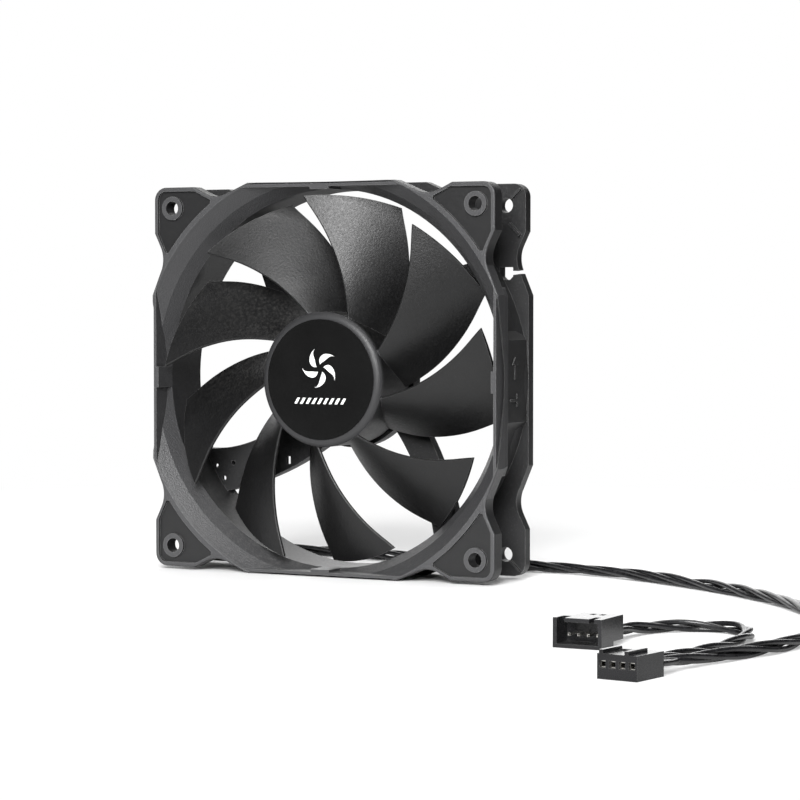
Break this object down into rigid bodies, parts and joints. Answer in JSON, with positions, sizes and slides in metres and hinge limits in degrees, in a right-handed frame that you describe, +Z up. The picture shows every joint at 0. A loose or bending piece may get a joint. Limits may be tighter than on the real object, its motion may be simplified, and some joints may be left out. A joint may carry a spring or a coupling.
{
  "type": "case fan",
  "caption": "Square open-corner computer case fan with a swept-blade rotor on a sleeve bearing, a four-wire lead, a socket connector and a pass-through pin connector.",
  "frame": {"origin": "centre of the frame, on the rotor's axis, half way between the front and rear faces", "axes": "-Y is the intake side, +Y the exhaust side along the rotor's axis, +Z up, +X to the right seen from the intake side"},
  "size_m": [0.249, 0.2263, 0.12],
  "materials": {
    "housing_plastic": "fine-grained moulded black plastic",
    "rotor_plastic": "fine-grained moulded black plastic, slightly smoother",
    "label_black": "glossy black printed sticker with a plain white emblem",
    "plated_steel": "zinc-plated pressed steel",
    "magnet": "bonded ferrite, dark grey",
    "brass": "turned brass",
    "ground_steel": "ground steel",
    "former_plastic": "natural nylon",
    "bronze": "oil-filled sintered bronze",
    "core_steel": "stacked electrical steel sheets",
    "enamelled_copper": "enamelled copper wire",
    "board": "glass-fibre board with green solder mask",
    "chip_plastic": "moulded epoxy package with tinned legs",
    "ceramic": "ceramic chip parts with tinned ends",
    "solder": "bright solder",
    "wire_pvc": "glossy black wire insulation",
    "connector_plastic": "glossy black moulded nylon",
    "tin_plate": "tin-plated brass"
  },
  "bodies": {
    "housing": {"frame": "housing_plastic", "bearing_sleeve": "bronze", "thrust_washer": "former_plastic", "stator_core": "core_steel", "front_coil_former": "former_plastic", "rear_coil_former": "former_plastic", "coils": "enamelled_copper", "circuit_board": "board", "driver_chip": "chip_plastic", "passives": "ceramic", "solder_joints": "solder", "rear_label": "label_black", "lead_in_channel": "wire_pvc", "main_lead": "wire_pvc", "tail_lead": "wire_pvc", "wire_ends": "wire_pvc", "socket_housing": "connector_plastic", "socket_contacts": "tin_plate", "pin_housing": "connector_plastic", "plug_pins": "tin_plate"},
    "rotor": {"impeller": "rotor_plastic", "hub_label": "label_black", "rotor_yoke": "plated_steel", "magnet_ring": "magnet", "shaft_insert": "brass", "shaft": "ground_steel", "oil_slinger": "former_plastic", "retaining_clip": "former_plastic"}
  },
  "joints": [
    {"name": "rotor_spin", "type": "hinge", "parent": "housing", "child": "rotor", "pos_m": [0, 0, 0], "axis": [0, -1, 0], "continuous": true}
  ]
}
